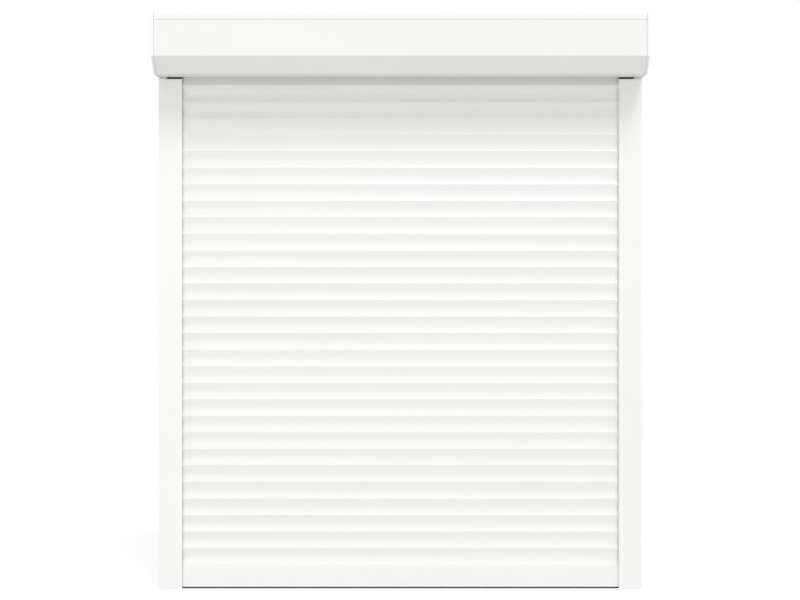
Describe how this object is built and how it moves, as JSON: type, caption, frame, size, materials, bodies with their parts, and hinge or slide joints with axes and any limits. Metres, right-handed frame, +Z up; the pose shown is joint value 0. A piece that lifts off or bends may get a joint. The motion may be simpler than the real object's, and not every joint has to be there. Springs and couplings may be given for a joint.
{
  "type": "roller shutter",
  "caption": "White front-mounted exterior roller shutter: slanted box with a strap-driven shaft, two guide rails and a curtain of hooked slats with a sealed bottom bar.",
  "frame": {"origin": "middle of the shutter's footprint, at the level of the rail feet", "axes": "+Z up, +X to the right seen from the street, -Y towards the street, +Y towards the wall"},
  "size_m": [1.1, 0.137, 1.3],
  "materials": {
    "white_sheet": "white powder coat on roll-formed sheet",
    "white_cast": "white powder coat on a casting",
    "white_profile": "white powder coat on an extrusion",
    "white_slat": "white stove enamel on roll-formed slats",
    "white_plastic": "white moulded plastic",
    "dark_plastic": "black moulded plastic",
    "brush_pile": "grey pile on a woven strip",
    "black_rubber": "black weather seal",
    "galvanised_tube": "zinc-coated steel tube",
    "bright_steel": "zinc-plated steel",
    "spring_steel": "blued spring steel",
    "white_rivet": "white-headed blind rivets",
    "grey_plastic": "light grey moulded plastic",
    "bearing_plastic": "natural nylon"
  },
  "bodies": {
    "housing": {"top_cover": "white_sheet", "front_cover": "white_sheet", "end_cap_left": "white_cast", "end_cap_right": "white_cast", "cover_screws": "bright_steel", "cover_rivets": "white_rivet", "rail_left": "white_profile", "rail_right": "white_profile", "brush_seals_left": "brush_pile", "brush_seals_right": "brush_pile", "inlet_guide_left": "dark_plastic", "inlet_guide_right": "dark_plastic", "rail_plug_left": "white_plastic", "rail_plug_right": "white_plastic", "bush_left": "bearing_plastic", "bush_right": "bearing_plastic", "strap_inlet": "dark_plastic", "roller_pin": "bright_steel"},
    "curtain_bar": {"bottom_bar": "white_profile", "bottom_seal": "black_rubber", "bar_plug_left": "white_plastic", "bar_plug_right": "white_plastic"},
    "drive_shaft": {"shaft": "galvanised_tube", "strap_pulley": "grey_plastic", "end_plug": "grey_plastic", "shaft_pins": "bright_steel"},
    "guide_roller": {"strap_roller": "dark_plastic"},
    "slat_01_row": {"slat_01": "white_slat"},
    "slat_02_row": {"slat_02": "white_slat"},
    "slat_03_row": {"slat_03": "white_slat"},
    "slat_04_row": {"slat_04": "white_slat"},
    "slat_05_row": {"slat_05": "white_slat"},
    "slat_06_row": {"slat_06": "white_slat"},
    "slat_07_row": {"slat_07": "white_slat"},
    "slat_08_row": {"slat_08": "white_slat"},
    "slat_09_row": {"slat_09": "white_slat"},
    "slat_10_row": {"slat_10": "white_slat"},
    "slat_11_row": {"slat_11": "white_slat"},
    "slat_12_row": {"slat_12": "white_slat"},
    "slat_13_row": {"slat_13": "white_slat"},
    "slat_14_row": {"slat_14": "white_slat"},
    "slat_15_row": {"slat_15": "white_slat"},
    "slat_16_row": {"slat_16": "white_slat"},
    "slat_17_row": {"slat_17": "white_slat"},
    "slat_18_row": {"slat_18": "white_slat"},
    "slat_19_row": {"slat_19": "white_slat"},
    "slat_20_row": {"slat_20": "white_slat"},
    "slat_21_row": {"slat_21": "white_slat"},
    "slat_22_row": {"slat_22": "white_slat"},
    "slat_23_row": {"slat_23": "white_slat"},
    "slat_24_row": {"slat_24": "white_slat"},
    "slat_25_row": {"slat_25": "white_slat"},
    "slat_26_row": {"slat_26": "white_slat"},
    "slat_27_row": {"slat_27": "white_slat"},
    "slat_28_row": {"slat_28": "white_slat"},
    "slat_29_row": {"slat_29": "white_slat"},
    "slat_30_row": {"slat_30": "white_slat", "hangers": "spring_steel"}
  },
  "joints": [
    {"name": "curtain_lift", "type": "slide", "parent": "housing", "child": "curtain_bar", "axis": [0, 0, 1], "range_m": [0, 1.1], "deforming": ["slat_01", "slat_02", "slat_03", "slat_04", "slat_05", "slat_06", "slat_07", "slat_08", "slat_09", "slat_10", "slat_11", "slat_12", "slat_13", "slat_14", "slat_15", "slat_16", "slat_17", "slat_18", "slat_19", "slat_20", "slat_21", "slat_22", "slat_23", "slat_24", "slat_25", "slat_26", "slat_27", "slat_28", "slat_29", "slat_30", "hangers"]},
    {"name": "slat_01_lift", "type": "slide", "parent": "housing", "child": "slat_01_row", "axis": [0, 0, 1], "range_m": [0, 1.1005]},
    {"name": "slat_02_lift", "type": "slide", "parent": "housing", "child": "slat_02_row", "axis": [0, 0, 1], "range_m": [0, 1.0633]},
    {"name": "slat_03_lift", "type": "slide", "parent": "housing", "child": "slat_03_row", "axis": [0, 0, 1], "range_m": [0, 1.0261]},
    {"name": "slat_04_lift", "type": "slide", "parent": "housing", "child": "slat_04_row", "axis": [0, 0, 1], "range_m": [0, 0.9889]},
    {"name": "slat_05_lift", "type": "slide", "parent": "housing", "child": "slat_05_row", "axis": [0, 0, 1], "range_m": [0, 0.9517]},
    {"name": "slat_06_lift", "type": "slide", "parent": "housing", "child": "slat_06_row", "axis": [0, 0, 1], "range_m": [0, 0.9145]},
    {"name": "slat_07_lift", "type": "slide", "parent": "housing", "child": "slat_07_row", "axis": [0, 0, 1], "range_m": [0, 0.8773]},
    {"name": "slat_08_lift", "type": "slide", "parent": "housing", "child": "slat_08_row", "axis": [0, 0, 1], "range_m": [0, 0.8401]},
    {"name": "slat_09_lift", "type": "slide", "parent": "housing", "child": "slat_09_row", "axis": [0, 0, 1], "range_m": [0, 0.8029]},
    {"name": "slat_10_lift", "type": "slide", "parent": "housing", "child": "slat_10_row", "axis": [0, 0, 1], "range_m": [0, 0.7657]},
    {"name": "slat_11_lift", "type": "slide", "parent": "housing", "child": "slat_11_row", "axis": [0, 0, 1], "range_m": [0, 0.7285]},
    {"name": "slat_12_lift", "type": "slide", "parent": "housing", "child": "slat_12_row", "axis": [0, 0, 1], "range_m": [0, 0.6913]},
    {"name": "slat_13_lift", "type": "slide", "parent": "housing", "child": "slat_13_row", "axis": [0, 0, 1], "range_m": [0, 0.6541]},
    {"name": "slat_14_lift", "type": "slide", "parent": "housing", "child": "slat_14_row", "axis": [0, 0, 1], "range_m": [0, 0.6169]},
    {"name": "slat_15_lift", "type": "slide", "parent": "housing", "child": "slat_15_row", "axis": [0, 0, 1], "range_m": [0, 0.5797]},
    {"name": "slat_16_lift", "type": "slide", "parent": "housing", "child": "slat_16_row", "axis": [0, 0, 1], "range_m": [0, 0.5425]},
    {"name": "slat_17_lift", "type": "slide", "parent": "housing", "child": "slat_17_row", "axis": [0, 0, 1], "range_m": [0, 0.5053]},
    {"name": "slat_18_lift", "type": "slide", "parent": "housing", "child": "slat_18_row", "axis": [0, 0, 1], "range_m": [0, 0.4681]},
    {"name": "slat_19_lift", "type": "slide", "parent": "housing", "child": "slat_19_row", "axis": [0, 0, 1], "range_m": [0, 0.4309]},
    {"name": "slat_20_lift", "type": "slide", "parent": "housing", "child": "slat_20_row", "axis": [0, 0, 1], "range_m": [0, 0.3937]},
    {"name": "slat_21_lift", "type": "slide", "parent": "housing", "child": "slat_21_row", "axis": [0, 0, 1], "range_m": [0, 0.3565]},
    {"name": "slat_22_lift", "type": "slide", "parent": "housing", "child": "slat_22_row", "axis": [0, 0, 1], "range_m": [0, 0.3193]},
    {"name": "slat_23_lift", "type": "slide", "parent": "housing", "child": "slat_23_row", "axis": [0, 0, 1], "range_m": [0, 0.2821]},
    {"name": "slat_24_lift", "type": "slide", "parent": "housing", "child": "slat_24_row", "axis": [0, 0, 1], "range_m": [0, 0.2449]},
    {"name": "slat_25_lift", "type": "slide", "parent": "housing", "child": "slat_25_row", "axis": [0, 0, 1], "range_m": [0, 0.2077]},
    {"name": "slat_26_lift", "type": "slide", "parent": "housing", "child": "slat_26_row", "axis": [0, 0, 1], "range_m": [0, 0.1705]},
    {"name": "slat_27_lift", "type": "slide", "parent": "housing", "child": "slat_27_row", "axis": [0, 0, 1], "range_m": [0, 0.1333]},
    {"name": "slat_28_lift", "type": "slide", "parent": "housing", "child": "slat_28_row", "axis": [0, 0, 1], "range_m": [0, 0.0961]},
    {"name": "slat_29_lift", "type": "slide", "parent": "housing", "child": "slat_29_row", "axis": [0, 0, 1], "range_m": [0, 0.0589]},
    {"name": "slat_30_lift", "type": "slide", "parent": "housing", "child": "slat_30_row", "axis": [0, 0, 1], "range_m": [0, 0.0217]},
    {"name": "shaft_turn", "type": "hinge", "parent": "housing", "child": "drive_shaft", "pos_m": [0, 0, 1.2315], "axis": [1, 0, 0], "range_deg": [0, 1440.5]},
    {"name": "roller_turn", "type": "hinge", "parent": "housing", "child": "guide_roller", "pos_m": [0.5285, 0.0567, 1.1977], "axis": [1, 0, 0], "range_deg": [-13505, 0]}
  ],
  "couplings": [
    {"joint": "slat_01_lift", "follows": "curtain_lift", "ratio": 1},
    {"joint": "slat_02_lift", "follows": "curtain_lift", "ratio": 0.96618},
    {"joint": "slat_03_lift", "follows": "curtain_lift", "ratio": 0.93236},
    {"joint": "slat_04_lift", "follows": "curtain_lift", "ratio": 0.89855},
    {"joint": "slat_05_lift", "follows": "curtain_lift", "ratio": 0.86473},
    {"joint": "slat_06_lift", "follows": "curtain_lift", "ratio": 0.83091},
    {"joint": "slat_07_lift", "follows": "curtain_lift", "ratio": 0.79709},
    {"joint": "slat_08_lift", "follows": "curtain_lift", "ratio": 0.76327},
    {"joint": "slat_09_lift", "follows": "curtain_lift", "ratio": 0.72945},
    {"joint": "slat_10_lift", "follows": "curtain_lift", "ratio": 0.69564},
    {"joint": "slat_11_lift", "follows": "curtain_lift", "ratio": 0.66182},
    {"joint": "slat_12_lift", "follows": "curtain_lift", "ratio": 0.628},
    {"joint": "slat_13_lift", "follows": "curtain_lift", "ratio": 0.59418},
    {"joint": "slat_14_lift", "follows": "curtain_lift", "ratio": 0.56036},
    {"joint": "slat_15_lift", "follows": "curtain_lift", "ratio": 0.52655},
    {"joint": "slat_16_lift", "follows": "curtain_lift", "ratio": 0.49273},
    {"joint": "slat_17_lift", "follows": "curtain_lift", "ratio": 0.45891},
    {"joint": "slat_18_lift", "follows": "curtain_lift", "ratio": 0.42509},
    {"joint": "slat_19_lift", "follows": "curtain_lift", "ratio": 0.39127},
    {"joint": "slat_20_lift", "follows": "curtain_lift", "ratio": 0.35746},
    {"joint": "slat_21_lift", "follows": "curtain_lift", "ratio": 0.32364},
    {"joint": "slat_22_lift", "follows": "curtain_lift", "ratio": 0.28982},
    {"joint": "slat_23_lift", "follows": "curtain_lift", "ratio": 0.256},
    {"joint": "slat_24_lift", "follows": "curtain_lift", "ratio": 0.22218},
    {"joint": "slat_25_lift", "follows": "curtain_lift", "ratio": 0.18836},
    {"joint": "slat_26_lift", "follows": "curtain_lift", "ratio": 0.15454},
    {"joint": "slat_27_lift", "follows": "curtain_lift", "ratio": 0.12073},
    {"joint": "slat_28_lift", "follows": "curtain_lift", "ratio": 0.086909},
    {"joint": "slat_29_lift", "follows": "curtain_lift", "ratio": 0.053091},
    {"joint": "slat_30_lift", "follows": "curtain_lift", "ratio": 0.019273},
    {"joint": "shaft_turn", "follows": "curtain_lift", "rad_per_m": 22.848},
    {"joint": "roller_turn", "follows": "curtain_lift", "rad_per_m": -214.2}
  ]
}
